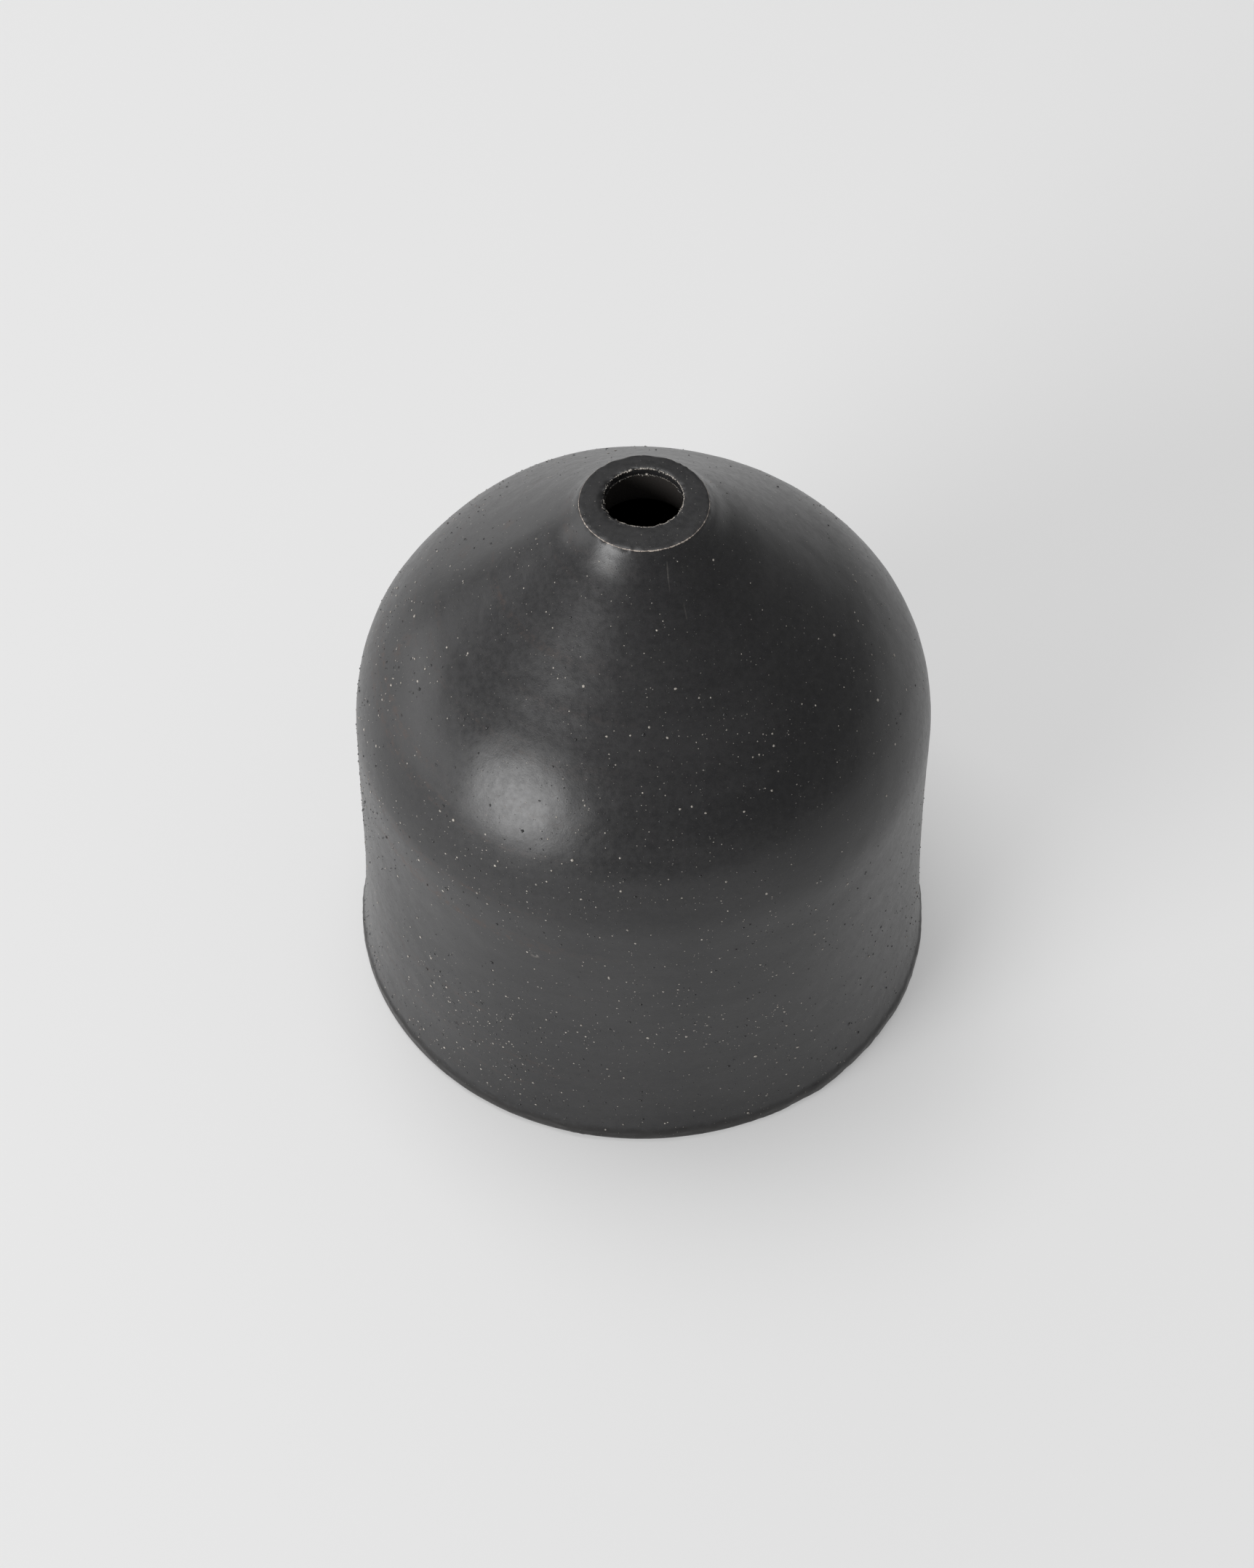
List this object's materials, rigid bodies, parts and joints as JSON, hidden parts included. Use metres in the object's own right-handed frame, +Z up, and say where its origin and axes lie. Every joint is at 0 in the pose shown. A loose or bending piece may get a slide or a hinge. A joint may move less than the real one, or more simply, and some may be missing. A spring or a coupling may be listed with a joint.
{
  "type": "candle jar",
  "caption": "Stoneware candle jar: a bell-shaped cover with a round vent in its flat top stands on a low dish, over an empty cup.",
  "frame": {"origin": "on the table, in the middle of the dish's underside", "axes": "+Z up, along the axis that every piece is turned on; X and Y lie on the table"},
  "size_m": [0.1042, 0.1042, 0.1095],
  "materials": {
    "cover_glaze": "satin charcoal glaze over speckled stoneware, worn pale at the cut edges",
    "dish_glaze": "satin charcoal glaze, bare clay foot",
    "cup_glaze": "satin charcoal glaze, bare clay foot"
  },
  "bodies": {
    "base": {"base_dish": "dish_glaze"},
    "cover": {"dome_cover": "cover_glaze"},
    "cup": {"candle_cup": "cup_glaze"}
  },
  "joints": [
    {"name": "cover_lift", "type": "slide", "parent": "base", "child": "cover", "axis": [0, 0, 1], "range_m": [0, 0.1]},
    {"name": "cup_lift", "type": "slide", "parent": "base", "child": "cup", "axis": [0, 0, 1], "range_m": [0, 0.012]}
  ]
}
